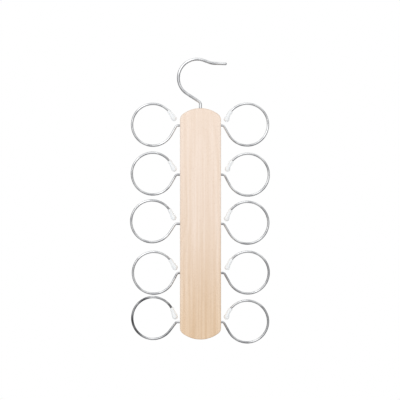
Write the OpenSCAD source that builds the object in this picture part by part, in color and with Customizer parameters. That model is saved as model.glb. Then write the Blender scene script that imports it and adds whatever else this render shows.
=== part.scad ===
// Scarf hanger: a wooden board hung from a wire hook that swivels in its top end. Open wire loops
// stand out from both long edges. Each loop turns stiffly on its own shank in the wood, and a soft
// cap covers its free end.
// Millimetres. +X is right, +Y is back and +Z is up. The origin is the inner top of the hook's
// bowl, where a rail carries the hanger.

/* [Board] */
// Length of the board from end to end. It sets how many loops fit along each edge.
board_length = 298.5; // [160:0.5:420]
// Width of the board
board_width = 53; // [46:1:70]
// Thickness of the board
board_thickness = 12; // [9:0.5:18]
// Least distance from each end of the board to the nearest loop's shank
end_margin = 20; // [19:0.5:40]
// Radius of the shallow arc that each end is cut to
end_radius = 38; // [32:1:60]
// Radius that blends the end arc into the long edges
corner_radius = 9; // [5:0.5:12]
// Radius of the eased edge all round both faces
edge_radius = 2; // [0.5:0.25:3.5]

/* [Hook] */
// Diameter of the hook's wire
hook_wire = 3.8; // [3:0.1:5]
// Inner radius of the bowl that sits on the rail
bowl_radius = 22.3; // [16:0.1:30]
// Length of straight shank that shows above the board
shank_rise = 4.8; // [2:0.2:20]
// Angle that the wire turns aside at the top of the shank
hook_neck_angle = 57; // [40:1:70]
// Centreline radius of that bend
hook_neck_radius = 5; // [3:0.5:8]
// Length of the straight run from that bend to the bowl
hook_slope = 18.2; // [10:0.2:30]
// Angle below level at which the bowl ends
bowl_fall = 20; // [5:1:35]
// Length of the straight run after the bowl
bowl_exit = 8; // [2:0.5:15]
// Centreline radius of the bend that lifts the tip
tip_bend_radius = 20; // [8:1:40]
// Angle below level of the tip's last run
tip_fall = 2; // [0:1:4]
// Length of the tip's last run, to its rounded end
tip_run = 16.5; // [5:0.5:25]
// Depth of the hook's shank in the board
hook_depth = 24; // [15:1:35]

/* [Loops] */
// Diameter of the loops' wire
loop_wire = 3; // [2:0.1:4]
// Inner diameter of a loop
loop_inner = 51; // [40:0.2:70]
// Clear height between one loop and the next, before any lean
loop_spacing = 6.5; // [6:0.1:30]
// Angle that the wire turns down at the neck
neck_angle = 60; // [50:1:66]
// Centreline radius of that bend
neck_radius = 3.5; // [2.5:0.5:6]
// Length of the straight leg from the neck to the round of the loop
leg_length = 12; // [10:0.2:15]
// Depth of a loop's shank in the board
loop_depth = 15; // [8:1:18]
// Length of each straight neck outside the left edge, from the top down
left_necks = [2.4, 2.8, 4, 1.3, 3.1]; // [0.8:0.1:8]
// Length of each straight neck outside the right edge, from the top down
right_necks = [1.3, 2.1, 1.7, 2.1, 1.3]; // [0.8:0.1:8]
// Angle that each left loop leans up from its drawn place, from the top down
left_leans = [-0.8, 0, 3.3, -2, 7]; // [-4:0.1:8]
// Angle that each right loop leans up from its drawn place, from the top down
right_leans = [-0.3, -2.3, 0.1, -1.5, -1]; // [-4:0.1:8]
// Angle above level at which each left loop's round stops and its free end runs straight, from
// the top down and before any lean
left_stops = [34, 29.6, 30.2, 29.5, 28.1]; // [24:0.1:36]
// Angle above level at which each right loop's round stops and its free end runs straight, from
// the top down and before any lean
right_stops = [23.2, 21.9, 20.6, 21.5, 20.7]; // [16:0.1:26]
// Length of a left loop's straight free end
left_tail = 8.5; // [7:0.1:10]
// Length of a right loop's straight free end
right_tail = 4.2; // [3.5:0.1:7]

/* [Caps] */
// Diameter of a cap's rounded tip
cap_tip = 7.2; // [6:0.1:8]
// Diameter of a cap's sleeve at its mouth
cap_mouth = 5; // [4.4:0.1:5.6]
// Length of a cap from its mouth to its tip
cap_length = 16; // [15:0.1:20]

/* [Shanks] */
// Depth of the grooves that hold a shank in the wood
groove_depth = 0.3; // [0.1:0.05:0.5]
// Spacing of the grooves along a shank
groove_pitch = 3; // [2:0.5:5]
// Bevel at the inner end of a shank
shank_bevel = 0.5; // [0.2:0.1:1]

/* [Fits] */
// Radial gap between a shank and its hole in the wood
shank_gap = 0.05; // [0.02:0.01:0.1]
// Gap beyond the inner end of a shank
shank_end_gap = 0.6; // [0.2:0.1:2]
// Radial gap between a loop's wire and its cap
cap_gap = 0.03; // [0.02:0.01:0.06]
// Gap beyond the wire's end inside its cap
cap_end_gap = 0.3; // [0.1:0.1:1]

/* [Hidden] */
ring_radius = (loop_inner + loop_wire) / 2;
loop_pitch = loop_inner + 2 * loop_wire + loop_spacing;
loops_per_side = floor((board_length - 2 * end_margin) / loop_pitch) + 1;
first_loop_depth = (board_length - (loops_per_side - 1) * loop_pitch) / 2;

LEFT = 0;
RIGHT = 1;
places = [for (side = [LEFT, RIGHT]) for (i = [0:loops_per_side - 1]) [side, i]];
function place_name(piece, place) = str(piece, ["_left_", "_right_"][place[0]], place[1] + 1);

wire_fn = 40;
round_fn = 144;
// A bend stands this far proud of the straight wire, and each straight runs this far into it
bend_swell = 0.02;
lap = 0.2;

// A wire's path is a list of runs in the XZ plane. A run [length] is straight, and a run
// [radius, turn] is an arc that turns left by that many degrees, or right where turn is negative.
// A pose is [x, z, heading].
function is_arc(run) = len(run) == 2;
function after_line(pose, length) =
    [pose[0] + length * cos(pose[2]), pose[1] + length * sin(pose[2]), pose[2]];
function after_arc(pose, radius, turn) =
    let (reach = sign(turn) * radius, heading = pose[2] + turn)
    [
        pose[0] + reach * (sin(heading) - sin(pose[2])),
        pose[1] + reach * (cos(pose[2]) - cos(heading)),
        heading
    ];
function after_run(pose, run) =
    is_arc(run) ? after_arc(pose, run[0], run[1]) : after_line(pose, run[0]);
function after_runs(pose, path, count) =
    count == 0 ? pose : after_run(after_runs(pose, path, count - 1), path[count - 1]);

// The hook's path, from where its shank leaves the board
hook_start = [0, 0, 90];
bowl_centreline = bowl_radius + hook_wire / 2;
path_to_bowl = [[shank_rise], [hook_neck_radius, hook_neck_angle], [hook_slope]];
hook_path = concat(path_to_bowl, [
    [bowl_centreline, -(90 + hook_neck_angle + bowl_fall)],
    [bowl_exit],
    [tip_bend_radius, bowl_fall - tip_fall],
    [tip_run]
]);
bowl_start = after_runs(hook_start, path_to_bowl, len(path_to_bowl));
// The shank's place in the board's top end, seen from the rail seat
hook_x = -(bowl_start[0] + bowl_centreline * sin(bowl_start[2]));
board_top = -(bowl_start[1] - bowl_centreline * cos(bowl_start[2]) + bowl_radius);

// A loop's path, from where its shank leaves the board's edge
loop_start = [0, 0, 0];
loop_necks = [left_necks, right_necks];
loop_leans = [left_leans, right_leans];
loop_stops = [left_stops, right_stops];
loop_tails = [left_tail, right_tail];
// A list that is shorter than a row of loops starts again from its first value
function listed(values, place) =
    let (row = values[place[0]]) row[place[1] % len(row)];
function path_to_round(place) =
    [[listed(loop_necks, place)], [neck_radius, listed(loop_leans, place) - neck_angle], [leg_length]];
function round_start(place) =
    let (path = path_to_round(place)) after_runs(loop_start, path, len(path));
// The angle that a loop's round turns, from the end of its leg to its stop on the board's side
function round_turn(place) = 270 + neck_angle - listed(loop_stops, place);

// The centre of a corner's blend, from the end's highest point, and the angle that the end's arc
// turns before it
corner_x = board_width / 2 - corner_radius;
end_spread = asin(corner_x / (end_radius - corner_radius));
corner_z = (end_radius - corner_radius) * cos(end_spread) - end_radius;
arc_steps = 12;
edge_steps = 6;
overrun = 1;
// Angle that a cap's bore is carried on past its mouth
mouth_lead = 2;

// Puts its children on a pose, with their +X along the heading and their +Z to its left
module on_pose(pose) {
    translate([pose[0], 0, pose[1]])
        rotate([0, -pose[2], 0])
            children();
}

// Turns its children's +Z to +X
module along_x() {
    rotate([0, 90, 0])
        children();
}

// A round bar that leaves the origin along +X and turns left, or right where turn is negative
module bend(radius, turn, width) {
    translate([0, 0, sign(turn) * radius])
        rotate([90, 0, 0])
            rotate([0, 0, turn > 0 ? -90 : 90 + turn])
                rotate_extrude(angle = abs(turn), $fn = round_fn)
                    translate([radius, 0])
                        circle(d = width, $fn = wire_fn);
}

// A bar along the runs of a path from the first to the last one asked for
module wire(start, path, width, first, last) {
    for (i = [first:last])
        on_pose(after_runs(start, path, i))
            if (is_arc(path[i]))
                bend(path[i][0], path[i][1], width + 2 * bend_swell);
            else
                along_x()
                    translate([0, 0, -lap])
                        cylinder(d = width, h = path[i][0] + 2 * lap, $fn = wire_fn);
}

// A bar up from the XY plane that widens to a rounded end. Its height is to the end's centre.
module rounded_bar(foot_radius, end_radius, height) {
    rotate_extrude($fn = wire_fn) {
        polygon([[0, -lap], [foot_radius, -lap], [end_radius, height], [0, height]]);
        translate([0, height])
            intersection() {
                circle(end_radius, $fn = wire_fn);
                square(end_radius);
            }
    }
}

// The grooves down a shank's side. Its hole has ridges to match, wider by the gap.
function grooved_side(radius, depth) =
    [for (i = [1:floor((depth - shank_bevel) / groove_pitch - 0.5)]) for (flank = [1, 0, -1])
        [radius - (flank == 0 ? groove_depth : 0), flank * groove_depth - i * groove_pitch]];

// The end of a wire that is held in the wood, with its straight neck above the XY plane
module shank(width, depth, neck) {
    radius = width / 2;
    rotate_extrude($fn = wire_fn)
        polygon(concat(
            [[0, neck + lap], [radius, neck + lap]],
            grooved_side(radius, depth),
            [[radius, shank_bevel - depth], [radius - shank_bevel, -depth], [0, -depth]]
        ));
}

// The hole that a shank turns in, carried on above the XY plane
module shank_hole(width, depth) {
    radius = width / 2 + shank_gap;
    floor_z = -depth - shank_end_gap;
    rotate_extrude($fn = wire_fn)
        polygon(concat(
            [[0, overrun], [radius, overrun]],
            grooved_side(radius, depth),
            [[radius, floor_z], [0, floor_z]]
        ));
}

// Points of an arc in the XZ plane
function arc_points(centre, radius, from, to) =
    [for (i = [0:arc_steps]) let (angle = from + (to - from) * i / arc_steps)
        centre + radius * [cos(angle), sin(angle)]];

// One quarter of the board's outline, drawn in all round by an inset
function quarter_outline(inset) = concat(
    [[0, -board_length / 2]],
    arc_points([0, -end_radius], end_radius - inset, 90, 90 - end_spread),
    arc_points([corner_x, corner_z], corner_radius - inset, 90 - end_spread, 0),
    [[board_width / 2 - inset, -board_length / 2]]
);

// A slice of the board, as thick as its place on the eased edge leaves it
module slice(edge_angle) {
    inset = edge_radius * (1 - cos(edge_angle));
    thickness = board_thickness - 2 * edge_radius * (1 - sin(edge_angle));
    rotate([90, 0, 0])
        linear_extrude(thickness, center = true)
            polygon(quarter_outline(inset));
}

// The board before it is drilled, down from the highest point of its top end
module board_blank() {
    translate([0, 0, -board_length / 2])
        hull()
            for (side = [0, 1]) for (end = [0, 1]) for (i = [0:edge_steps])
                mirror([side, 0, 0])
                    mirror([0, 0, end])
                        translate([0, 0, board_length / 2])
                            slice(90 * i / edge_steps);
}

// Puts its children where the board's top end takes the hook
module at_board() {
    translate([hook_x, 0, board_top])
        children();
}

// Puts its children where a loop enters the board's edge, with their +X pointing out
module at_loop(place) {
    at_board()
        mirror([place[0] == LEFT ? 1 : 0, 0, 0])
            translate([board_width / 2, 0, -first_loop_depth - place[1] * loop_pitch])
                children();
}

module board() {
    color("burlywood")
        difference() {
            at_board() board_blank();
            at_board() shank_hole(hook_wire, hook_depth);
            for (place = places)
                at_loop(place) along_x() shank_hole(loop_wire, loop_depth);
        }
}

module hook() {
    last = len(hook_path) - 1;
    color("lightgray")
        at_board() {
            shank(hook_wire, hook_depth, shank_rise);
            wire(hook_start, hook_path, hook_wire, 1, last - 1);
            on_pose(after_runs(hook_start, hook_path, last))
                along_x() rounded_bar(hook_wire / 2, hook_wire / 2, tip_run - hook_wire / 2);
        }
}

// The straight free end of a loop's wire, up from the XY plane
module tail(length, width) {
    translate([0, 0, -lap])
        cylinder(d = width, h = length + lap, $fn = wire_fn);
}

module loop(place) {
    path = concat(path_to_round(place), [[ring_radius, round_turn(place)]]);
    last = len(path) - 1;
    color("silver")
        at_loop(place) {
            along_x() shank(loop_wire, loop_depth, path[0][0]);
            wire(loop_start, path, loop_wire, 1, last);
            on_pose(after_run(round_start(place), path[last]))
                along_x() tail(loop_tails[place[0]], loop_wire);
        }
}

// A soft cap. Its sleeve follows the end of the round, then widens along the free end.
module cap(place) {
    tail_length = loop_tails[place[0]];
    sleeve_turn = (cap_length - cap_tip / 2 - tail_length) / ring_radius * 180 / PI;
    mouth_turn = round_turn(place) - sleeve_turn;
    start = round_start(place);
    bore = loop_wire + 2 * cap_gap;
    color("white", 0.8)
        at_loop(place)
            difference() {
                union() {
                    on_pose(after_arc(start, ring_radius, mouth_turn))
                        bend(ring_radius, sleeve_turn, cap_mouth);
                    on_pose(after_arc(start, ring_radius, round_turn(place)))
                        along_x() rounded_bar(cap_mouth / 2 + bend_swell, cap_tip / 2, tail_length);
                }
                on_pose(after_arc(start, ring_radius, mouth_turn - mouth_lead))
                    bend(ring_radius, sleeve_turn + mouth_lead, bore + 2 * bend_swell);
                on_pose(after_arc(start, ring_radius, round_turn(place)))
                    along_x() tail(tail_length + cap_end_gap, bore);
            }
}

board();
hook();
for (place = places) {
    loop(place);
    cap(place);
}
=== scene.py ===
"""Looks of the scarf hanger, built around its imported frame.

Metres. +X is right, +Y is back and +Z is up. The origin is the inner top of the hook's bowl.
"""

import math

import bpy
import numpy as np
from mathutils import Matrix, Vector


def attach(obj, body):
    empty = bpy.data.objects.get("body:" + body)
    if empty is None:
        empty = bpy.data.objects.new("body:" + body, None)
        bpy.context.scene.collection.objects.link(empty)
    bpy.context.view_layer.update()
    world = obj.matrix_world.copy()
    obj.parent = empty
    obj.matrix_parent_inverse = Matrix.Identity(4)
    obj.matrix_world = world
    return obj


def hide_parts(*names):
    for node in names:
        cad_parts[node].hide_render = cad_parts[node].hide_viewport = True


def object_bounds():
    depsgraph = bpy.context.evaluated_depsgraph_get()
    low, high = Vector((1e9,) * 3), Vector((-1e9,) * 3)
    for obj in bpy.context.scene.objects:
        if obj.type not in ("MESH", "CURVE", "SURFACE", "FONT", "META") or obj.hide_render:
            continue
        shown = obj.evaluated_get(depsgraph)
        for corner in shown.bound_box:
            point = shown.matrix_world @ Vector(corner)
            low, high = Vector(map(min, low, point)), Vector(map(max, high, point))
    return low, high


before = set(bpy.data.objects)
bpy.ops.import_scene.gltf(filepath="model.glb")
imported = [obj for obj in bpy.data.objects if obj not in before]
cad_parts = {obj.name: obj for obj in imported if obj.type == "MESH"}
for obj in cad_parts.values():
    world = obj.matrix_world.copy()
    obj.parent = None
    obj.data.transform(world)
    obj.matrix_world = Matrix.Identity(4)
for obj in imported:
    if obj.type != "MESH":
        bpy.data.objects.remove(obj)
cad_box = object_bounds()

MM = 0.001

# Sizes that the frame is built to
BOARD_LENGTH = 298.5 * MM
BOARD_WIDTH = 53 * MM
BOARD_THICKNESS = 12 * MM
END_RADIUS = 38 * MM
CORNER_RADIUS = 9 * MM
EDGE_RADIUS = 2 * MM

HOOK_WIRE = 3.8 * MM
BOWL_RADIUS = 22.3 * MM
SHANK_RISE = 4.8 * MM
HOOK_NECK_ANGLE = 57
HOOK_NECK_RADIUS = 5 * MM
HOOK_SLOPE = 18.2 * MM
BOWL_FALL = 20
BOWL_EXIT = 8 * MM
TIP_BEND_RADIUS = 20 * MM
TIP_FALL = 2
TIP_RUN = 16.5 * MM
HOOK_DEPTH = 24 * MM

LOOP_WIRE = 3 * MM
LOOP_INNER = 51 * MM
LOOP_SPACING = 6.5 * MM
LOOPS_PER_SIDE = 5
NECK_ANGLE = 60
NECK_RADIUS = 3.5 * MM
LEG_LENGTH = 12 * MM
LOOP_DEPTH = 15 * MM
NECKS = {"left": [2.4, 2.8, 4, 1.3, 3.1], "right": [1.3, 2.1, 1.7, 2.1, 1.3]}
LEANS = {"left": [-0.8, 0, 3.3, -2, 7], "right": [-0.3, -2.3, 0.1, -1.5, -1]}
STOPS = {"left": [34, 29.6, 30.2, 29.5, 28.1], "right": [23.2, 21.9, 20.6, 21.5, 20.7]}
TAILS = {"left": 8.5 * MM, "right": 4.2 * MM}

CAP_TIP = 7.2 * MM
CAP_MOUTH = 5 * MM
CAP_LENGTH = 16 * MM
CAP_GAP = 0.03 * MM
CAP_END_GAP = 0.3 * MM

GROOVE_DEPTH = 0.3 * MM
GROOVE_PITCH = 3 * MM
SHANK_BEVEL = 0.5 * MM
SHANK_GAP = 0.05 * MM
SHANK_END_GAP = 0.6 * MM

RING_RADIUS = (LOOP_INNER + LOOP_WIRE) / 2
LOOP_PITCH = LOOP_INNER + 2 * LOOP_WIRE + LOOP_SPACING
FIRST_LOOP_DEPTH = (BOARD_LENGTH - (LOOPS_PER_SIDE - 1) * LOOP_PITCH) / 2
SIDES = {"left": -1, "right": 1}

# Details that only show close up
MOUTH_EASE = 0.35 * MM
BEND_THINNING = 0.1
LOOP_END_BEVEL = 0.4 * MM
RIM_CORNER = 0.3
CAP_LIP = 0.25 * MM
CAP_BORE_EASE = 0.2 * MM
NUB_RADIUS = 0.55 * MM
NUB_HEIGHT = 0.02 * MM
NUB_EASE = 0.08 * MM
NUB_CLEARANCE = 1.1

# How finely curves are drawn
AROUND = 32
LINE_STEP = 4 * MM
ARC_STEP = 3.0
LEAST_STEP = 0.02 * MM
FLARE_STEP = 0.8 * MM
LIP_STEPS = 8
WIRE_DOME_STEPS = 8
CAP_DOME_STEPS = 14
BOARD_SIDE_STEPS = 24
BOARD_CORNER_STEPS = 14
BOARD_END_STEPS = 18
BOARD_EDGE_STEPS = 8

# A cutter goes on this far outside the wood
CUTTER_REACH = 2 * MM


# Paths. A run (length,) is straight and a run (radius, turn) is an arc that turns left by that
# many degrees, or right where turn is negative. A pose is (x, z, heading in degrees).


def run_length(run):
    return run[0] if len(run) == 1 else run[0] * math.radians(abs(run[1]))


def after_run(pose, run, distance):
    """The pose at a distance along one run."""
    x, z, heading = pose
    start = math.radians(heading)
    if len(run) == 1:
        return (x + distance * math.cos(start), z + distance * math.sin(start), heading)
    radius, turn = run
    reach = math.copysign(radius, turn)
    end = start + distance / reach
    return (
        x + reach * (math.sin(end) - math.sin(start)),
        z + reach * (math.cos(start) - math.cos(end)),
        math.degrees(end),
    )


def pose_at(start, path, distance):
    """The pose at a distance along a path. The first and last runs go on past its ends."""
    pose = start
    for run in path[:-1]:
        length = run_length(run)
        if distance <= length:
            return after_run(pose, run, distance)
        pose = after_run(pose, run, length)
        distance -= length
    return after_run(pose, path[-1], distance)


def bend_at(path, distance):
    """How tightly a path bends at a distance along it, per metre."""
    for run in path:
        length = run_length(run)
        if distance <= length:
            break
        distance -= length
    return 0.0 if len(run) == 1 else 1 / run[0]


def path_length(path):
    return sum(run_length(run) for run in path)


def stops_along(path, first, last, line_step=LINE_STEP):
    """Distances along a path, close enough together to draw its bends smoothly."""
    found = [first]
    begun = 0.0
    for run in path:
        length = run_length(run)
        if len(run) == 1:
            count = math.ceil(length / line_step)
        else:
            count = math.ceil(abs(run[1]) / ARC_STEP)
        found += [begun + length * i / count for i in range(count + 1)]
        begun += length
    found = sorted(d for d in found if first <= d <= last) + [last]
    apart = [found[0]]
    for distance in found[1:]:
        if distance - apart[-1] > LEAST_STEP:
            apart.append(distance)
    return apart


bowl_centreline = BOWL_RADIUS + HOOK_WIRE / 2
HOOK_START = (0.0, 0.0, 90.0)
HOOK_PATH = [
    (SHANK_RISE,),
    (HOOK_NECK_RADIUS, HOOK_NECK_ANGLE),
    (HOOK_SLOPE,),
    (bowl_centreline, -(90 + HOOK_NECK_ANGLE + BOWL_FALL)),
    (BOWL_EXIT,),
    (TIP_BEND_RADIUS, BOWL_FALL - TIP_FALL),
    (TIP_RUN,),
]
bowl_start = pose_at(HOOK_START, HOOK_PATH, path_length(HOOK_PATH[:3]))
bowl_heading = math.radians(bowl_start[2])
HOOK_X = -(bowl_start[0] + bowl_centreline * math.sin(bowl_heading))
BOARD_TOP = -(bowl_start[1] - bowl_centreline * math.cos(bowl_heading) + BOWL_RADIUS)
LOOP_START = (0.0, 0.0, 0.0)


def loop_path(side, index):
    """A loop's path from the board's edge, drawn as a right-hand loop."""
    return [
        (NECKS[side][index] * MM,),
        (NECK_RADIUS, LEANS[side][index] - NECK_ANGLE),
        (LEG_LENGTH,),
        (RING_RADIUS, 270 + NECK_ANGLE - STOPS[side][index]),
        (TAILS[side],),
    ]


def loop_foot(side, index):
    """Where a loop leaves the board's edge."""
    x = HOOK_X + SIDES[side] * BOARD_WIDTH / 2
    return (x, BOARD_TOP - FIRST_LOOP_DEPTH - index * LOOP_PITCH)


# Profiles: lists of (distance along a path, radius) that a skin is swept through


def grooved(radius, depth):
    """The side of a shank, from near its inner end to near the wood's face."""
    count = math.floor((depth - SHANK_BEVEL) / GROOVE_PITCH - 0.5)
    return [
        (flank * GROOVE_DEPTH - i * GROOVE_PITCH, radius - (GROOVE_DEPTH if flank == 0 else 0))
        for i in range(count, 0, -1)
        for flank in (-1, 0, 1)
    ]


def dome(end, radius, count):
    """A rounded end that reaches to a distance, in count steps."""
    return [
        (
            end - radius * (1 - math.sin(math.pi / 2 * i / count)),
            radius * math.cos(math.pi / 2 * i / count) if i < count else 0.0,
        )
        for i in range(1, count + 1)
    ]


def shank_profile(width, depth):
    """A shank, from the middle of its bevelled inner end to near the wood's face."""
    radius = width / 2
    ends = [(-depth, 0.0), (-depth, radius - SHANK_BEVEL), (-depth + SHANK_BEVEL, radius)]
    return ends + grooved(radius, depth)


def bore_profile(width, depth):
    """A hole's skin, from its floor to outside the wood, with an eased mouth."""
    radius = width / 2 + SHANK_GAP
    floor_at = -depth - SHANK_END_GAP
    floor = [(floor_at, 0.0), (floor_at, radius)]
    mouth = [
        (-MOUTH_EASE, radius),
        (0.0, radius + MOUTH_EASE),
        (CUTTER_REACH, radius + MOUTH_EASE + CUTTER_REACH),
        (CUTTER_REACH, 0.0),
    ]
    return floor + grooved(radius, depth) + mouth


def new_object(name, vertices, faces):
    mesh = bpy.data.meshes.new(name)
    mesh.from_pydata(vertices, [], faces)
    mesh.shade_smooth()
    obj = bpy.data.objects.new(name, mesh)
    bpy.context.scene.collection.objects.link(obj)
    return obj


def add_attribute(obj, name, kind, values):
    attribute = obj.data.attributes.new(name, kind, "POINT")
    member = "vector" if kind == "FLOAT_VECTOR" else "value"
    attribute.data.foreach_set(member, np.array(values, np.float32).ravel())


def add_map(obj, corners):
    """Lays out the mesh on a texture, with one (u, v) for each corner of each face in turn."""
    layer = obj.data.uv_layers.new(name="OFBake")
    layer.data.foreach_set("uv", np.array(corners, np.float32).ravel())


# How strongly a bend marks the wire, for the strain at its outside
WORKED_PER_STRAIN = 2.5
# The shares of a texture's row that a skin takes up, and the share left free under it
ROW_LENGTH_USED = 0.94
ROW_HEIGHT_USED = 0.92
ROW_BASE = 0.04


def swept(name, start, path, profile, foot, side=1, flatten=0.0, rows=4):
    """A closed round skin along a path, whose profile starts and ends at radius zero.

    flatten is how much a bend thins the wire in its own plane, as a share of its radius over the
    bend's. rows is the number of strips that the skin is cut into on its texture. The attribute
    "straight" keeps where each point would be on the straightened wire, in millimetres, and
    "worked" how hard the wire was bent there.
    """
    vertices = []
    straight = []
    worked = []
    rings = []
    for distance, radius in profile:
        x, z, heading = pose_at(start, path, distance)
        left_x = -math.sin(math.radians(heading))
        left_z = math.cos(math.radians(heading))
        strain = radius * bend_at(path, distance)
        ring = []
        for i in range(AROUND if radius > 0 else 1):
            angle = 2 * math.pi * i / AROUND
            inward = radius * (1 - flatten * strain) * math.cos(angle)
            across = radius * math.sin(angle)
            ring.append(len(vertices))
            vertices.append(
                (foot[0] + side * (x + inward * left_x), across, foot[1] + z + inward * left_z)
            )
            straight.append((inward / MM, across / MM, distance / MM))
            worked.append(min(1.0, WORKED_PER_STRAIN * strain))
        rings.append(ring)
    travel = [0.0]
    for (d0, r0), (d1, r1) in zip(profile, profile[1:]):
        travel.append(travel[-1] + math.hypot(d1 - d0, r1 - r0))
    row_length = travel[-1] / rows
    faces = []
    corners = []
    for step in range(len(rings) - 1):
        here, there = rings[step], rings[step + 1]
        row = min(rows - 1, int((travel[step] + travel[step + 1]) / 2 / row_length))
        u0, u1 = (
            0.5 + ((travel[end] - row * row_length) / row_length - 0.5) * ROW_LENGTH_USED
            for end in (step, step + 1)
        )
        for i in range(AROUND):
            j = (i + 1) % AROUND
            v0, v1 = ((row + ROW_BASE + ROW_HEIGHT_USED * k / AROUND) / rows for k in (i, i + 1))
            if len(here) == 1:
                face = [(here[0], u0, (v0 + v1) / 2), (there[j], u1, v1), (there[i], u1, v0)]
            elif len(there) == 1:
                face = [(here[i], u0, v0), (here[j], u0, v1), (there[0], u1, (v0 + v1) / 2)]
            else:
                face = [
                    (here[i], u0, v0),
                    (here[j], u0, v1),
                    (there[j], u1, v1),
                    (there[i], u1, v0),
                ]
            if side > 0:
                face.reverse()
            faces.append([corner[0] for corner in face])
            corners += [corner[1:] for corner in face]
    obj = new_object(name, vertices, faces)
    add_attribute(obj, "straight", "FLOAT_VECTOR", straight)
    add_attribute(obj, "worked", "FLOAT", worked)
    add_map(obj, corners)
    return obj


# Node trees


def emptied_tree(owner):
    """The node tree of a material or a world, with nothing in it."""
    owner.use_nodes = True
    owner.node_tree.nodes.clear()
    return owner.node_tree


def put(tree, kind, sockets=None, **settings):
    """Adds a node. sockets maps a socket's name or number to a value or to the output it reads."""
    node = tree.nodes.new(kind)
    for name, value in settings.items():
        setattr(node, name, value)
    for key, value in (sockets or {}).items():
        if isinstance(value, bpy.types.NodeSocket):
            tree.links.new(value, node.inputs[key])
        else:
            node.inputs[key].default_value = value
    return node


def maths(tree, operation, first, second=0.0):
    return put(tree, "ShaderNodeMath", {0: first, 1: second}, operation=operation).outputs[0]


def product(tree, first, second):
    return maths(tree, "MULTIPLY", first, second)


def plus(tree, first, second):
    return maths(tree, "ADD", first, second)


def scaled(tree, vector, scale):
    return put(tree, "ShaderNodeVectorMath", {0: vector, 1: scale}, operation="MULTIPLY").outputs[0]


def noise(tree, vector, scale, detail, roughness):
    """A noise from 0 to 1, finer with a larger scale, given for each of the vector's directions."""
    sockets = {
        "Vector": scaled(tree, vector, scale),
        "Scale": 1.0,
        "Detail": detail,
        "Roughness": roughness,
    }
    return put(tree, "ShaderNodeTexNoise", sockets).outputs["Fac"]


def ranged(tree, value, low, high, to_low=0.0, to_high=1.0, smooth=False):
    """Maps low to high onto to_low to to_high, and holds still beyond them."""
    sockets = {
        "Value": value,
        "From Min": low,
        "From Max": high,
        "To Min": to_low,
        "To Max": to_high,
    }
    way = "SMOOTHSTEP" if smooth else "LINEAR"
    return put(tree, "ShaderNodeMapRange", sockets, interpolation_type=way).outputs["Result"]


def mixed(tree, factor, first, second, way="MIX"):
    """Colours mixed by a factor. A plain colour is (red, green, blue)."""
    node = put(tree, "ShaderNodeMix", {"Factor": factor}, data_type="RGBA", blend_type=way)
    for key, colour in (("A", first), ("B", second)):
        socket = next(s for s in node.inputs if s.name == key and s.type == "RGBA")
        if isinstance(colour, bpy.types.NodeSocket):
            tree.links.new(colour, socket)
        else:
            socket.default_value = (*colour, 1.0)
    return next(s for s in node.outputs if s.type == "RGBA")


def srgb(red, green, blue):
    """A linear colour from one written in 0 to 255."""
    return tuple(
        c / 255 / 12.92 if c / 255 <= 0.04045 else ((c / 255 + 0.055) / 1.055) ** 2.4
        for c in (red, green, blue)
    )


def new_material(name):
    """A material with one Principled shader, returned with its tree and that shader."""
    material = bpy.data.materials.new(name)
    tree = emptied_tree(material)
    shader = put(tree, "ShaderNodeBsdfPrincipled")
    output = put(tree, "ShaderNodeOutputMaterial")
    tree.links.new(shader.outputs["BSDF"], output.inputs["Surface"])
    return material, tree, shader


def in_millimetres(tree):
    """Where a point lies in its object, in millimetres."""
    place = put(tree, "ShaderNodeTexCoord").outputs["Object"]
    return scaled(tree, place, (1 / MM, 1 / MM, 1 / MM))


def kept(tree, name):
    """What a mesh keeps at its points under a name."""
    return put(tree, "ShaderNodeAttribute", attribute_name=name).outputs


def bump(tree, height, relief, under=None):
    """A bump, on top of another one. relief is (how proud a height of 1 stands, strength)."""
    depth, strength = relief
    sockets = {"Height": height, "Distance": depth, "Strength": strength}
    if under is not None:
        sockets["Normal"] = under
    return put(tree, "ShaderNodeBump", sockets).outputs["Normal"]


# The beech, in millimetres: its two tones, of which the lower is darker and yellower, partly the
# wood's own colour and partly painted shade; the heights between which one turns into the other;
# and where the pith of its growth rings lies
BEECH_TONES_AND_PAINTED_SHADE = (srgb(247, 230, 217), srgb(235, 209, 180))
TONE_AND_SHADE_TURN = (-185, -385)
PITH_SWAY = (-32, 20)
PITH_BEHIND = 66.0
PITH_LEAN = 0.012
# Streaks grow stronger down the board, as (from height, to height, from strength, to strength)
STREAK_GROWTH = (-100, -300, 0.4, 1.0)

# Noises, as (scale across, through and along the board), detail, roughness. The rings' first
# scale counts outwards from the pith.
WOOD_NOISES = {
    "sway": ((0.004, 0.01, 0.006), 1.0, 0.5),
    "rings": ((0.55, 1, 1), 3.0, 0.6),
    "fibre": ((3.2, 3.2, 0.09), 3.0, 0.6),
    "streaks": ((0.3, 0.3, 0.006), 2.0, 0.6),
    "flecks": ((2.6, 1.2, 0.42), 1.0, 0.3),
    "pores": ((7.0, 7.0, 0.5), 1.0, 0.5),
}
# Where each noise starts to show, and where it shows in full
RING_SPAN = (0.35, 0.7)
FIBRE_SPAN = (0.3, 0.7)
FIBRE_SHINE_SPAN = (0.2, 0.8)
STREAK_SPAN = (0.32, 0.68)
FLECK_SPAN = (0.66, 0.74)
PORE_SPAN = (0.64, 0.72)
# How squarely the wood has to look up or down to show end grain
END_GRAIN_SPAN = (0.6, 0.9)

# What the darkest grain leaves of the wood's own red, green and blue
GRAIN_RINGS = (0.93, 0.9, 0.86)
GRAIN_STREAKS = (0.9, 0.85, 0.78)
GRAIN_FIBRES = (0.96, 0.945, 0.92)

# Colours that cover the wood, each with the share of it that they cover
FLECK = (0.32, srgb(186, 138, 96))
PORE = (0.16, srgb(168, 120, 80))
END_GRAIN = (0.3, srgb(206, 168, 128))

WOOD_ROUGHNESS = (0.4, 0.5)
END_GRAIN_ROUGHER = 0.14
FIBRE_RELIEF = (0.03 * MM, 0.5)
PORE_RELIEF = (0.04 * MM, 0.5)


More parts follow.
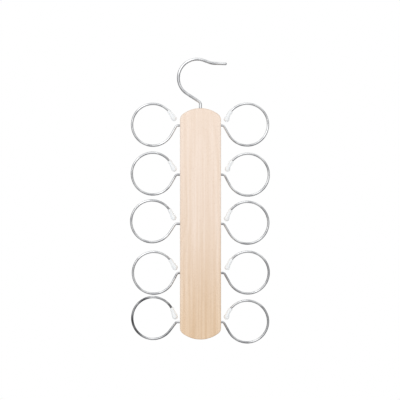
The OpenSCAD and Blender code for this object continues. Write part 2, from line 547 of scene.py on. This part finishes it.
def pith_distance(tree, place):
    """How far the wood lies from a pith behind the board, which leans a little along it."""
    axes = put(tree, "ShaderNodeSeparateXYZ", {0: place}).outputs
    sway = noise(tree, place, *WOOD_NOISES["sway"])
    pith_x = plus(tree, axes["X"], ranged(tree, sway, 0, 1, *PITH_SWAY))
    pith_y = maths(tree, "SUBTRACT", axes["Y"], PITH_BEHIND)
    square = plus(tree, product(tree, pith_x, pith_x), product(tree, pith_y, pith_y))
    return plus(tree, maths(tree, "SQRT", square), product(tree, axes["Z"], PITH_LEAN))


def wood_material():
    """Pale beech with a satin finish: growth rings, fibres, short dark flecks, end grain, and a
    darker, yellower lower end that is partly painted shade.
    """
    material, tree, shader = new_material("beech")
    place = in_millimetres(tree)
    axes = put(tree, "ShaderNodeSeparateXYZ", {0: place}).outputs
    outwards = put(tree, "ShaderNodeCombineXYZ", {"X": pith_distance(tree, place)}).outputs[0]
    rings = noise(tree, outwards, *WOOD_NOISES["rings"])
    fibre = noise(tree, place, *WOOD_NOISES["fibre"])
    streaks = noise(tree, place, *WOOD_NOISES["streaks"])
    streaks = ranged(tree, streaks, *STREAK_SPAN, smooth=True)
    streaks = product(tree, streaks, ranged(tree, axes["Z"], *STREAK_GROWTH))
    flecks = noise(tree, place, *WOOD_NOISES["flecks"])
    flecks = ranged(tree, flecks, *FLECK_SPAN, smooth=True)
    pores = noise(tree, place, *WOOD_NOISES["pores"])
    pores = ranged(tree, pores, *PORE_SPAN, smooth=True)
    facing = put(tree, "ShaderNodeTexCoord").outputs["Normal"]
    facing = put(tree, "ShaderNodeSeparateXYZ", {0: facing}).outputs
    ends = ranged(tree, maths(tree, "ABSOLUTE", facing["Z"]), *END_GRAIN_SPAN, smooth=True)

    # Paler at the top and darker and yellower towards the bottom: partly the beech's own colour,
    # partly painted shade from light falling from above
    tone_and_shade = ranged(tree, axes["Z"], *TONE_AND_SHADE_TURN, smooth=True)
    colour = mixed(tree, tone_and_shade, *BEECH_TONES_AND_PAINTED_SHADE)
    colour = mixed(tree, ranged(tree, rings, *RING_SPAN), colour, GRAIN_RINGS, "MULTIPLY")
    colour = mixed(tree, streaks, colour, GRAIN_STREAKS, "MULTIPLY")
    colour = mixed(tree, ranged(tree, fibre, *FIBRE_SPAN), colour, GRAIN_FIBRES, "MULTIPLY")
    for where, (share, cover) in ((flecks, FLECK), (pores, PORE), (ends, END_GRAIN)):
        colour = mixed(tree, product(tree, where, share), colour, cover)
    tree.links.new(colour, shader.inputs["Base Color"])

    rough = ranged(tree, fibre, *FIBRE_SHINE_SPAN, *WOOD_ROUGHNESS)
    rough = plus(tree, rough, product(tree, ends, END_GRAIN_ROUGHER))
    tree.links.new(rough, shader.inputs["Roughness"])
    relief = bump(tree, fibre, FIBRE_RELIEF)
    relief = bump(tree, maths(tree, "SUBTRACT", 1.0, pores), PORE_RELIEF, relief)
    tree.links.new(relief, shader.inputs["Normal"])
    shader.inputs["Specular IOR Level"].default_value = 0.35
    shader.inputs["Coat Weight"].default_value = 0.12
    shader.inputs["Coat Roughness"].default_value = 0.35
    return material


# The plating's colours. Painted dark reflections and specks come with the share of the plating that
# they cover.
PLATING = (srgb(248, 249, 250), srgb(238, 239, 241))
PAINTED_REFLECTION_PATCH = (0.6, srgb(172, 173, 177))
SPECK = (0.5, srgb(120, 116, 110))
# Dark grey painted over the plating as painted shade, by the same share that makes it duller
PAINTED_SHADE_GREY = srgb(92, 93, 96)
PLATING_EDGE_TINT = srgb(120, 122, 126)

# Noises, as scale per millimetre, detail, roughness. The painted dark reflections lie in the
# object's own directions, and the others in those of the straightened wire, whose last one is its
# length.
WIRE_NOISES = {
    "lines": ((2.2, 2.2, 0.05), 3.0, 0.6),
    "clouds": ((0.35, 0.35, 0.12), 2.0, 0.5),
    "specks": ((2.5, 2.5, 2.0), 1.0, 0.5),
    "scuffs": ((0.8, 0.8, 7.0), 1.0, 0.5),
    "painted_reflections": ((0.07, 0.07, 0.07), 1.0, 0.5),
}
LINE_SPAN = (0.3, 0.7)
CLOUD_SPAN = (0.3, 0.7)
SPECK_SPAN = (0.72, 0.78)
PAINTED_REFLECTION_SPAN = (0.4, 0.62)

PLATING_ROUGHNESS = (0.12, 0.2)
WORKED_ROUGHER = 0.1
RUBBED_ROUGHER = 0.18
DULL_ROUGHER = 0.1
LINE_RELIEF = (0.012 * MM, 0.5)
SCUFF_RELIEF = (0.02 * MM, 0.4)


def wire_material():
    """Bright plating over drawn wire: die lines along it, cloudy polish, duller worked bends, and
    painted shade and painted dark reflections in its colour.
    """
    material, tree, shader = new_material("bright_wire")
    straight = kept(tree, "straight")["Vector"]
    worked = kept(tree, "worked")["Fac"]
    dullness_and_painted_shade = kept(tree, "dullness_and_painted_shade")["Fac"]
    rubbed = kept(tree, "rubbed")["Fac"]
    lines = noise(tree, straight, *WIRE_NOISES["lines"])
    clouds = noise(tree, straight, *WIRE_NOISES["clouds"])
    scuffs = noise(tree, straight, *WIRE_NOISES["scuffs"])
    specks = noise(tree, straight, *WIRE_NOISES["specks"])
    specks = ranged(tree, specks, *SPECK_SPAN)
    # Painted dark reflections: darker grey at random over the plating, in the object's own
    # directions
    painted_reflections = noise(tree, in_millimetres(tree), *WIRE_NOISES["painted_reflections"])
    painted_reflections = ranged(tree, painted_reflections, *PAINTED_REFLECTION_SPAN, smooth=True)

    reflection_share, reflection_colour = PAINTED_REFLECTION_PATCH
    speck_share, speck_colour = SPECK
    colour = mixed(tree, ranged(tree, clouds, *CLOUD_SPAN), *PLATING)
    colour = mixed(tree, product(tree, painted_reflections, reflection_share), colour, reflection_colour)
    # Painted shade: the plating turns dark grey where the wire runs upright, at loop bottoms and
    # over left loop 5
    colour = mixed(tree, dullness_and_painted_shade, colour, PAINTED_SHADE_GREY)
    colour = mixed(tree, product(tree, specks, speck_share), colour, speck_colour)
    tree.links.new(colour, shader.inputs["Base Color"])

    rough = ranged(tree, lines, *LINE_SPAN, *PLATING_ROUGHNESS)
    for where, rougher in (
        (worked, WORKED_ROUGHER),
        (rubbed, RUBBED_ROUGHER),
        (dullness_and_painted_shade, DULL_ROUGHER),
    ):
        rough = plus(tree, rough, product(tree, where, rougher))
    tree.links.new(rough, shader.inputs["Roughness"])
    relief = bump(tree, lines, LINE_RELIEF)
    relief = bump(tree, product(tree, scuffs, worked), SCUFF_RELIEF, relief)
    tree.links.new(relief, shader.inputs["Normal"])
    shader.inputs["Metallic"].default_value = 1.0
    shader.inputs["Specular Tint"].default_value = (*PLATING_EDGE_TINT, 1.0)
    return material


# The caps' plastic. Its noises are given as the wires' are, and its mould line in millimetres.
MILKY = (srgb(241, 243, 244), srgb(236, 238, 239))
MILKY_ROUGHNESS = (0.3, 0.42)
MILK_DEPTH = 1.2 * MM
CAP_NOISES = {
    "clouds": ((0.5, 0.5, 0.3), 2.0, 0.5),
    "pits": ((1.5, 1.5, 1.5), 2.0, 0.5),
}
MILK_SPAN = (0.3, 0.7)
MILK_SHINE_SPAN = (0.2, 0.8)
SEAM_HALF = 0.12
SEAM_RELIEF = (0.04 * MM, 0.6)
PIT_RELIEF = (0.03 * MM, 0.4)


def cap_material():
    """Milky soft plastic with a faint mould line along both sides."""
    material, tree, shader = new_material("milky_cap")
    straight = kept(tree, "straight")["Vector"]
    axes = put(tree, "ShaderNodeSeparateXYZ", {0: straight}).outputs
    clouds = noise(tree, straight, *CAP_NOISES["clouds"])
    pits = noise(tree, straight, *CAP_NOISES["pits"])
    away = maths(tree, "ABSOLUTE", axes["Y"])
    seam = ranged(tree, away, 0.0, SEAM_HALF, 1.0, 0.0, smooth=True)
    colour = mixed(tree, ranged(tree, clouds, *MILK_SPAN), *MILKY)
    tree.links.new(colour, shader.inputs["Base Color"])
    rough = ranged(tree, clouds, *MILK_SHINE_SPAN, *MILKY_ROUGHNESS)
    tree.links.new(rough, shader.inputs["Roughness"])
    relief = bump(tree, seam, SEAM_RELIEF)
    relief = bump(tree, pits, PIT_RELIEF, relief)
    tree.links.new(relief, shader.inputs["Normal"])
    shader.inputs["IOR"].default_value = 1.45
    shader.inputs["Subsurface Weight"].default_value = 0.2
    shader.inputs["Subsurface Radius"].default_value = (1.0, 0.95, 0.9)
    shader.inputs["Subsurface Scale"].default_value = MILK_DEPTH
    return material


beech = wood_material()
bright_wire = wire_material()
milky_cap = cap_material()


# The wires

# How much each loop's plating is duller, and darkened with painted shade
DULLNESS_AND_PAINTED_SHADE = {"left": [0.12, 0.1, 0.1, 0.12, 0.5], "right": [0.0, 0.0, 0.04, 0.15, 0.45]}
# Degrees by which the stretch of a wire with most painted shade, and duller plating, leans away
# from upright
PAINTED_SHADE_TILT = 12
# The share of its painted shade and duller plating that a wire keeps where it runs level
LEVEL_PAINTED_SHADE = 0.25
# A patch of painted shade on duller plating is (bearing, reach, strength). Its bearing is in
# degrees round the loop, from the outermost point upwards. Loops have one at their bottom, or else
# those of their own.
LOOP_PAINTED_SHADES = ((-90, 22, 0.35),)
OWN_PAINTED_SHADES = {
    ("left", 4): (
        (-8, 30, 1.0),
        (62, 26, 1.0),
        (146, 18, 0.8),
        (232, 22, 0.75),
        (-38, 26, 0.9),
    ),
}
RUBBED_REACH = 9 * MM


def painted_shade_at(heading, dull_and_shade, painted_shades):
    """How much painted shade darkens a wire at this heading, and makes it duller: least where it
    runs level, most in a patch of painted shade.
    """
    upright = math.sin(math.radians(heading - PAINTED_SHADE_TILT)) ** 2
    share = dull_and_shade * (LEVEL_PAINTED_SHADE + (1 - LEVEL_PAINTED_SHADE) * upright)
    for bearing, reach, strength in painted_shades:
        away = abs((heading - 90 - bearing + 180) % 360 - 180) / reach
        share = max(share, strength * max(0.0, 1 - away * away))
    return share


def wire_piece(name, start, path, profile, foot, side, body, dull_and_shade, painted_shades=(), rubbed_at=None):
    """A plated wire, duller and darkened with painted shade here and there, and rubbed where a rail
    has carried it.
    """
    piece = swept(name, start, path, profile, foot, side, flatten=BEND_THINNING, rows=5)
    dull_and_shaded = []
    for distance, radius in profile:
        share = painted_shade_at(pose_at(start, path, distance)[2], dull_and_shade, painted_shades)
        dull_and_shaded += [share] * (AROUND if radius > 0 else 1)
    add_attribute(piece, "dullness_and_painted_shade", "FLOAT", dull_and_shaded)
    rubbed = [0.0] * len(dull_and_shaded)
    if rubbed_at is not None:
        for i, vertex in enumerate(piece.data.vertices):
            away = (vertex.co - Vector(rubbed_at)).length
            rubbed[i] = max(0.0, 1 - (away / RUBBED_REACH) ** 2)
    add_attribute(piece, "rubbed", "FLOAT", rubbed)
    piece.data.materials.append(bright_wire)
    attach(piece, body)
    return piece


def wire_profile(path, width, depth, bevel=None):
    """A wire from the inner end of its shank to its free end, which is round without a bevel."""
    radius = width / 2
    end = path_length(path)
    if bevel is None:
        bar_end = end - radius
        tip = dome(end, radius, WIRE_DOME_STEPS)
    else:
        bar_end = end - bevel
        corner = bevel * RIM_CORNER
        tip = [(end - corner, radius - corner), (end, radius - bevel), (end, 0.0)]
    bar = [(d, radius) for d in stops_along(path, 0.0, bar_end)]
    return shank_profile(width, depth) + bar + tip


hook = wire_piece(
    "hook_wire",
    HOOK_START,
    HOOK_PATH,
    wire_profile(HOOK_PATH, HOOK_WIRE, HOOK_DEPTH),
    (HOOK_X, BOARD_TOP),
    1,
    "hook",
    0.0,
    rubbed_at=(0.0, 0.0, 0.0),
)
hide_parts("hook")


def cap_piece(side, index, path, body):
    """A cap: up its bore to the mouth, round the lip, and along the skin to the tip."""
    end = path_length(path)
    run_start = end - TAILS[side]
    mouth = end + CAP_TIP / 2 - CAP_LENGTH
    bore = LOOP_WIRE / 2 + CAP_GAP
    inner = [(end + CAP_END_GAP, 0.0), (end + CAP_END_GAP - CAP_BORE_EASE, bore)]
    inner += [(d, bore) for d in reversed(stops_along(path, mouth + CAP_LIP, end))]
    lip_centre = (bore + CAP_MOUTH / 2) / 2
    lip_reach = (CAP_MOUTH / 2 - bore) / 2
    lip = [
        (
            mouth + CAP_LIP * (1 - math.sin(math.pi * i / LIP_STEPS)),
            lip_centre - lip_reach * math.cos(math.pi * i / LIP_STEPS),
        )
        for i in range(1, LIP_STEPS)
    ]
    # The skin flares from the mouth to the tip, half evenly and half with a smooth start and end
    outer = []
    for d in stops_along(path, mouth + CAP_LIP, end, line_step=FLARE_STEP):
        flare = max(0.0, (d - run_start) / TAILS[side])
        ease = flare * flare * (3 - 2 * flare)
        share = 0.5 * flare + 0.5 * ease
        outer.append((d, CAP_MOUTH / 2 + (CAP_TIP - CAP_MOUTH) / 2 * share))
    tip = end + CAP_TIP / 2
    least = NUB_RADIUS * NUB_CLEARANCE
    round_end = [p for p in dome(tip, CAP_TIP / 2, CAP_DOME_STEPS) if p[1] > least]
    nub = [
        (tip - NUB_RADIUS**2 / CAP_TIP, NUB_RADIUS),
        (tip - NUB_HEIGHT, NUB_RADIUS - NUB_EASE),
        (tip, 0.0),
    ]
    piece = swept(
        f"cap_{side}_{index + 1}_skin",
        LOOP_START,
        path,
        inner + lip + outer + round_end + nub,
        loop_foot(side, index),
        SIDES[side],
        rows=2,
    )
    piece.data.materials.append(milky_cap)
    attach(piece, body)
    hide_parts(f"cap_{side}_{index + 1}")
    return piece


for side in SIDES:
    for index in range(LOOPS_PER_SIDE):
        body = f"loop_{side}_{index + 1}"
        path = loop_path(side, index)
        ring = wire_piece(
            f"{body}_wire",
            LOOP_START,
            path,
            wire_profile(path, LOOP_WIRE, LOOP_DEPTH, LOOP_END_BEVEL),
            loop_foot(side, index),
            SIDES[side],
            body,
            DULLNESS_AND_PAINTED_SHADE[side][index],
            painted_shades=OWN_PAINTED_SHADES.get((side, index), LOOP_PAINTED_SHADES),
        )
        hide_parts(body)
        cap_piece(side, index, path, body)


# The board


def arc_points(centre, radius, first, last, count):
    """Points on an arc from one bearing to another, in degrees, with both ends."""
    bearings = [math.radians(first + (last - first) * i / count) for i in range(count + 1)]
    return [
        (centre[0] + radius * math.cos(bearing), centre[1] + radius * math.sin(bearing))
        for bearing in bearings
    ]


def board_outline(inset):
    """The board's outline drawn in by an inset, anticlockwise seen from the front."""
    corner_x = BOARD_WIDTH / 2 - CORNER_RADIUS
    reach = END_RADIUS - CORNER_RADIUS
    spread = math.degrees(math.asin(corner_x / reach))
    corner_z = reach * math.cos(math.radians(spread)) - END_RADIUS
    half = BOARD_LENGTH / 2
    right = [
        (BOARD_WIDTH / 2 - inset, -half + (corner_z + half) * i / BOARD_SIDE_STEPS)
        for i in range(BOARD_SIDE_STEPS)
    ]
    corner_centre = (corner_x, corner_z)
    meet = 90 - spread
    corner = arc_points(corner_centre, CORNER_RADIUS - inset, 0, meet, BOARD_CORNER_STEPS)
    end = arc_points((0, -END_RADIUS), END_RADIUS - inset, meet, 90, BOARD_END_STEPS)
    quarter = right + corner + end[1:]
    top = quarter + [(-x, z) for x, z in reversed(quarter[:-1])]
    bottom = [(-x, -BOARD_LENGTH - z) for x, z in top[1:-1]]
    return top + bottom


def board_blank():
    """The board before it is drilled, with its eased edges as rings of faces."""
    rings = []
    for face in (-1, 1):
        for i in range(BOARD_EDGE_STEPS + 1):
            step = i if face > 0 else BOARD_EDGE_STEPS - i
            angle = math.pi / 2 * step / BOARD_EDGE_STEPS
            inset = EDGE_RADIUS * (1 - math.cos(angle))
            y = face * (BOARD_THICKNESS / 2 - EDGE_RADIUS * (1 - math.sin(angle)))
            rings.append([(HOOK_X + x, y, BOARD_TOP + z) for x, z in board_outline(inset)])
    count = len(rings[0])
    vertices = [point for ring in rings for point in ring]
    faces = [list(range(count)), [len(vertices) - 1 - i for i in range(count)]]
    for k in range(len(rings) - 1):
        for i in range(count):
            j = (i + 1) % count
            here, there = k * count, (k + 1) * count
            faces.append([here + j, here + i, there + i, there + j])
    return new_object("board_wood", vertices, faces)


def drilled(blank):
    """Cuts the bores for all the shanks out of the board."""
    straight_on = [(MM,)]
    profile = bore_profile(HOOK_WIRE, HOOK_DEPTH)
    cutters = [swept("bore", HOOK_START, straight_on, profile, (HOOK_X, BOARD_TOP))]
    profile = bore_profile(LOOP_WIRE, LOOP_DEPTH)
    for side in SIDES:
        for index in range(LOOPS_PER_SIDE):
            foot = loop_foot(side, index)
            cutters.append(swept("bore", LOOP_START, straight_on, profile, foot, SIDES[side]))
    group = bpy.data.collections.new("cutters")
    for cutter in cutters:
        group.objects.link(cutter)
    cut = blank.modifiers.new("bores", "BOOLEAN")
    cut.operation = "DIFFERENCE"
    cut.operand_type = "COLLECTION"
    cut.collection = group
    cut.solver = "EXACT"
    graph = bpy.context.evaluated_depsgraph_get()
    made = bpy.data.meshes.new_from_object(blank.evaluated_get(graph))
    blank.modifiers.clear()
    blank.data = made
    for cutter in cutters:
        bpy.data.objects.remove(cutter)
    bpy.data.collections.remove(group)
    return blank


# On the board's texture: the gap between sides, how much wider its thin sides and ends are drawn,
# and how squarely a face has to look forward or back to count as part of the front or back
MAP_MARGIN = 2 * MM
MAP_SIDE_WIDER = 1.5
MAP_END_WIDER = 2
MAP_FLAT = 0.6


def map_board(obj):
    """Lays out the board's six sides next to each other."""
    low, high = Vector(obj.bound_box[0]), Vector(obj.bound_box[6])
    size = high - low
    margin = MAP_MARGIN
    side_width = size.y * MAP_SIDE_WIDER
    total = 2 * size.x + 2 * side_width + 5 * margin
    tall = size.z + 2 * size.y + 4 * margin
    corners = []
    for face in obj.data.polygons:
        normal = face.normal
        for vertex in face.vertices:
            p = obj.data.vertices[vertex].co - low
            if abs(normal.y) >= MAP_FLAT:
                u = margin + p.x if normal.y < 0 else 2 * margin + size.x + p.x
                v = margin + p.z
            elif abs(normal.x) >= abs(normal.z):
                begun = 3 * margin + 2 * size.x + (side_width + margin if normal.x > 0 else 0)
                u = begun + p.y * MAP_SIDE_WIDER
                v = margin + p.z
            else:
                u = margin + p.x * MAP_END_WIDER
                v = 2 * margin + size.z + p.y + (size.y + margin if normal.z > 0 else 0)
            corners.append((u / total, v / tall))
    for layer in list(obj.data.uv_layers):
        obj.data.uv_layers.remove(layer)
    add_map(obj, corners)


# Degrees from which two faces of the board meet in a hard edge, as they do in the bores
SHARP_FROM = 35

board = drilled(board_blank())
for attribute in ("straight", "worked"):
    if attribute in board.data.attributes:
        board.data.attributes.remove(board.data.attributes[attribute])
map_board(board)
board.data.set_sharp_from_angle(angle=math.radians(SHARP_FROM))
weighted = board.modifiers.new("even_shading", "WEIGHTED_NORMAL")
weighted.keep_sharp = True
board.data.materials.clear()
board.data.materials.append(beech)
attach(board, "board")
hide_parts("board")


# The studio

FLOOR_Z = -0.62
FLOOR_SOLID = 0.7
FLOOR_REACH = 1.5
FLOOR_SIDES = 64
FLOOR_COLOURS = (srgb(250, 250, 250), srgb(246, 246, 246))
FLOOR_GRAIN = ((40, 40, 40), 3.0, 0.5)


def floor_material():
    """Pale matt floor that fades out at its rim."""
    material = bpy.data.materials.new("pale_floor")
    tree = emptied_tree(material)
    place = put(tree, "ShaderNodeTexCoord").outputs["Object"]
    away = put(tree, "ShaderNodeVectorMath", {0: place}, operation="LENGTH").outputs["Value"]
    fade = ranged(tree, away, FLOOR_SOLID, FLOOR_REACH, smooth=True)
    colour = mixed(tree, noise(tree, place, *FLOOR_GRAIN), *FLOOR_COLOURS)
    matt = put(tree, "ShaderNodeBsdfDiffuse", {"Color": colour})
    clear = put(tree, "ShaderNodeBsdfTransparent")
    both = put(tree, "ShaderNodeMixShader", {0: fade, 1: matt.outputs[0], 2: clear.outputs[0]})
    output = put(tree, "ShaderNodeOutputMaterial")
    tree.links.new(both.outputs[0], output.inputs["Surface"])
    return material


rim = [math.tau * i / FLOOR_SIDES for i in range(FLOOR_SIDES)]
floor_points = [(FLOOR_REACH * math.cos(a), FLOOR_REACH * math.sin(a), 0.0) for a in rim]
studio_floor = new_object("floor", floor_points, [list(range(FLOOR_SIDES))])
studio_floor.location = (0.0, 0.0, FLOOR_Z)
studio_floor.data.materials.append(floor_material())
studio_floor.visible_glossy = False


# The light on the object from beside it and from ahead and behind, and what is added from above
LIGHT_BESIDE = 0.36
LIGHT_FACING = 0.9
LIGHT_ABOVE = 0.2
# What gloss sees above and below, and the shares of it that are left beside and ahead
MIRRORED_PALE = 0.93
MIRRORED_BELOW = 0.4
MIRRORED_BESIDE = 0.42
MIRRORED_AHEAD = 0.8
# Where those change, as (from, to) along an axis of a ray's direction
FACING_TURN = (0.0, 0.9)
BELOW_TURN = (-0.8, 0.1)
BESIDE_TURN = (0.45, 0.95)
AHEAD_TURN = (-0.4, -0.95)
BEHIND_TURN = (0.4, 0.9)
WHITE = (1, 1, 1, 1)


def chosen(tree, factor, first, second):
    """A number mixed from two others. Sockets 2 and 3 of the node are its pair of numbers."""
    sockets = {"Factor": factor, 2: first, 3: second}
    return put(tree, "ShaderNodeMix", sockets, data_type="FLOAT").outputs[0]


def studio_world():
    """Plain light for the object, and a white background that gloss and clear things see too.

    What gloss sees is white behind, pale above, greyer ahead, and darker beside and below.
    """
    world = bpy.data.worlds.new("studio")
    bpy.context.scene.world = world
    tree = emptied_tree(world)
    way = put(tree, "ShaderNodeTexCoord").outputs["Generated"]
    axes = put(tree, "ShaderNodeSeparateXYZ", {0: way}).outputs
    facing = ranged(tree, maths(tree, "ABSOLUTE", axes["Y"]), *FACING_TURN, smooth=True)
    lighting = ranged(tree, facing, 0.0, 1.0, LIGHT_BESIDE, LIGHT_FACING)
    lighting = plus(tree, lighting, ranged(tree, axes["Z"], -1.0, 1.0, 0.0, LIGHT_ABOVE))

    across = maths(tree, "ABSOLUTE", axes["X"])
    above = ranged(tree, axes["Z"], *BELOW_TURN, MIRRORED_BELOW, MIRRORED_PALE, smooth=True)
    beside = ranged(tree, across, *BESIDE_TURN, 1.0, MIRRORED_BESIDE, smooth=True)
    ahead = ranged(tree, axes["Y"], *AHEAD_TURN, 1.0, MIRRORED_AHEAD, smooth=True)
    behind = ranged(tree, axes["Y"], *BEHIND_TURN, smooth=True)
    mirrored = product(tree, product(tree, above, beside), ahead)
    mirrored = maths(tree, "MAXIMUM", mirrored, behind)

    ray = put(tree, "ShaderNodeLightPath").outputs
    direct = maths(tree, "MAXIMUM", ray["Is Camera Ray"], ray["Is Transmission Ray"])
    level = chosen(tree, ray["Is Glossy Ray"], lighting, mirrored)
    level = chosen(tree, direct, level, 1.0)
    background = put(tree, "ShaderNodeBackground", {"Color": WHITE, "Strength": level})
    output = put(tree, "ShaderNodeOutputWorld")
    tree.links.new(background.outputs[0], output.inputs["Surface"])


studio_world()

CARD_Y = -0.09
CARD_HALF = 0.015
CARD_LOW = -0.42
CARD_HIGH = -0.075
CARD_LEVEL = 0.02


def dark_card():
    """A dark upright card close in front of the board, which only gloss sees."""
    points = [
        (HOOK_X + x, CARD_Y, z)
        for x, z in (
            (-CARD_HALF, CARD_LOW),
            (CARD_HALF, CARD_LOW),
            (CARD_HALF, CARD_HIGH),
            (-CARD_HALF, CARD_HIGH),
        )
    ]
    card = new_object("dark_card", points, [[0, 1, 2, 3]])
    material = bpy.data.materials.new("dark_card")
    tree = emptied_tree(material)
    dark = put(tree, "ShaderNodeEmission", {"Color": WHITE, "Strength": CARD_LEVEL})
    output = put(tree, "ShaderNodeOutputMaterial")
    tree.links.new(dark.outputs[0], output.inputs["Surface"])
    card.data.materials.append(material)
    card.visible_camera = False
    card.visible_diffuse = False
    card.visible_transmission = False
    card.visible_shadow = False


dark_card()

LAMP_SIZE = 1.6
LAMPS = {"key_lamp": ((-0.7, -1.7, 0.7), 9), "back_lamp": ((0.8, 1.7, 0.6), 6)}


def soft_lamp(name, place, aim, power):
    """A square lamp with soft shadows, which the camera can't see."""
    lamp = bpy.data.lights.new(name, "AREA")
    lamp.shape = "RECTANGLE"
    lamp.size = LAMP_SIZE
    lamp.size_y = LAMP_SIZE
    lamp.energy = power
    obj = bpy.data.objects.new(name, lamp)
    bpy.context.scene.collection.objects.link(obj)
    obj.location = place
    obj.rotation_euler = (Vector(aim) - Vector(place)).to_track_quat("-Z", "Y").to_euler()
    obj.visible_camera = False


low, high = cad_box
for lamp_name, (lamp_place, lamp_power) in LAMPS.items():
    soft_lamp(lamp_name, lamp_place, (low + high) / 2, lamp_power)

# The photograph's frame spans this width at the object
FRAME_WIDTH = 516.8 * MM
CAMERA_AWAY = 2.6
CAMERA_AIM = Vector((3.71 * MM, 0.0, -180.0 * MM))
SENSOR_WIDTH = 36

camera = bpy.data.cameras.new("camera")
camera.sensor_width = SENSOR_WIDTH
camera.lens = SENSOR_WIDTH * CAMERA_AWAY / FRAME_WIDTH
camera_object = bpy.data.objects.new("camera", camera)
bpy.context.scene.collection.objects.link(camera_object)
camera_object.location = CAMERA_AIM + Vector((0.0, -CAMERA_AWAY, 0.0))
camera_object.rotation_euler = (math.pi / 2, 0.0, 0.0)
bpy.context.scene.camera = camera_object
bpy.context.scene.view_settings.view_transform = "Standard"
